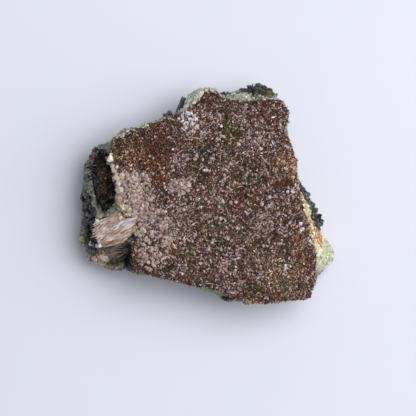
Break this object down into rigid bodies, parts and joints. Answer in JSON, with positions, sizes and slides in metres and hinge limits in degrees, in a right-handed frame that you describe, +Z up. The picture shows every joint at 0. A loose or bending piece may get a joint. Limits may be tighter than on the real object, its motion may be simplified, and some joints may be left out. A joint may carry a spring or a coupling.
{
  "type": "epidote crystal cluster",
  "caption": "Slab of pale green matrix rock, its top covered by a red-brown and pink druse, with dark bladed crystals, a lined hollow and a fibrous ledge at its sides",
  "frame": {"origin": "middle of the bounding box's footprint, on the flat base", "axes": "+X to the specimen's right, along its longest side; +Y to its rear; +Z up, away from the flat base, through the druse"},
  "size_m": [0.09, 0.0776, 0.0287],
  "materials": {
    "pale_green_matrix": "broken pale grey-green rock with cream and ochre stains",
    "red_brown_druse": "sparkling crust of red-brown, pink, olive and white grains",
    "pink_tan_fibres": "silky fibrous pink-tan mineral with pale ridges and orange streaks",
    "dark_brown_crystals": "dark brown to green-black crystals, glossy on their faces",
    "grey_black_epidote": "grey-black bladed crystals, lightly striated",
    "green_black_epidote": "green-black bladed crystals with glossy faces",
    "grey_green_epidote": "grey-green bladed crystals, dusty between blades",
    "black_epidote": "black bladed crystals with bright glints"
  },
  "bodies": {
    "root": {"matrix_rock": "pale_green_matrix", "druse_crust": "red_brown_druse", "fibrous_ledge": "pink_tan_fibres", "pocket_crystals": "dark_brown_crystals", "spear_crystals": "grey_black_epidote", "rear_crystals": "green_black_epidote", "flank_crystals": "grey_green_epidote", "left_crystals": "black_epidote"}
  },
  "joints": []
}
